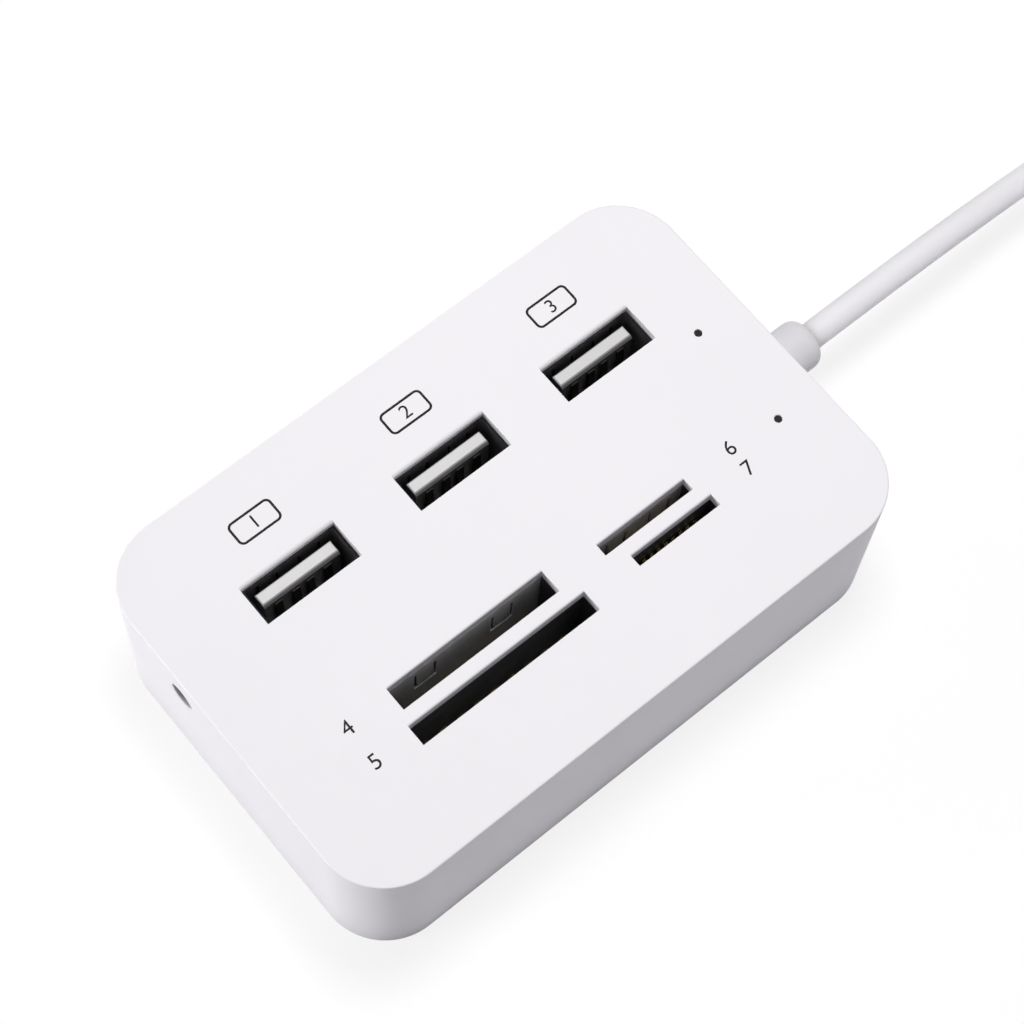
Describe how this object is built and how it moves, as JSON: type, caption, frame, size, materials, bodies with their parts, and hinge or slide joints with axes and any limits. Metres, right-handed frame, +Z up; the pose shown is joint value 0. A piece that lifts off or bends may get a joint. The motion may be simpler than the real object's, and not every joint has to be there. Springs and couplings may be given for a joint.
{
  "type": "usb hub card reader",
  "caption": "Flat rounded desk hub with upright USB ports and memory card slots in its top, a round power inlet and a captive lead with a plug.",
  "frame": {"origin": "middle of the hub's underside", "axes": "+X along the long side towards the lead, +Y towards the USB row, +Z up"},
  "size_m": [0.204, 0.0768, 0.0232],
  "materials": {
    "housing": "white moulding with a fine satin gloss",
    "board": "green solder mask",
    "connector_steel": "bright nickelled sheet",
    "contact": "gold flashed",
    "insulator": "white moulding",
    "socket_plastic": "black moulding",
    "chip_plastic": "black moulding",
    "can_aluminium": "bright can",
    "lamp": "smoked lens, dark when unlit",
    "ribbon": "grey ribbon",
    "core_insulation": "coloured cores",
    "cord_jacket": "smooth white jacket",
    "tie": "white tie"
  },
  "bodies": {
    "root": {"top_shell": "housing", "bottom_cover": "housing", "main_board": "board", "card_board": "board", "usb_shell_1": "connector_steel", "usb_shell_2": "connector_steel", "usb_shell_3": "connector_steel", "sd_cover": "connector_steel", "ms_cover": "connector_steel", "micro_cover": "connector_steel", "m2_cover": "connector_steel", "hub_crystal": "connector_steel", "reader_crystal": "connector_steel", "plug_shell": "connector_steel", "usb_contacts_1": "contact", "usb_contacts_2": "contact", "usb_contacts_3": "contact", "sd_contacts": "contact", "ms_contacts": "contact", "micro_contacts": "contact", "m2_contacts": "contact", "jack_pin": "contact", "jack_spring": "contact", "plug_contacts": "contact", "usb_insulator_1": "insulator", "usb_insulator_2": "insulator", "usb_insulator_3": "insulator", "plug_insulator": "insulator", "sd_body": "socket_plastic", "ms_body": "socket_plastic", "micro_body": "socket_plastic", "m2_body": "socket_plastic", "jack_body": "socket_plastic", "hub_chip": "chip_plastic", "reader_chip": "chip_plastic", "bulk_capacitors": "can_aluminium", "led_hub": "lamp", "led_card": "lamp", "link_ribbon": "ribbon", "lead_wires": "core_insulation", "strain_relief": "cord_jacket", "cord_lead": "cord_jacket", "cord_coil": "cord_jacket", "cord_tail": "cord_jacket", "plug_overmould": "cord_jacket", "cord_tie": "tie"}
  },
  "joints": []
}
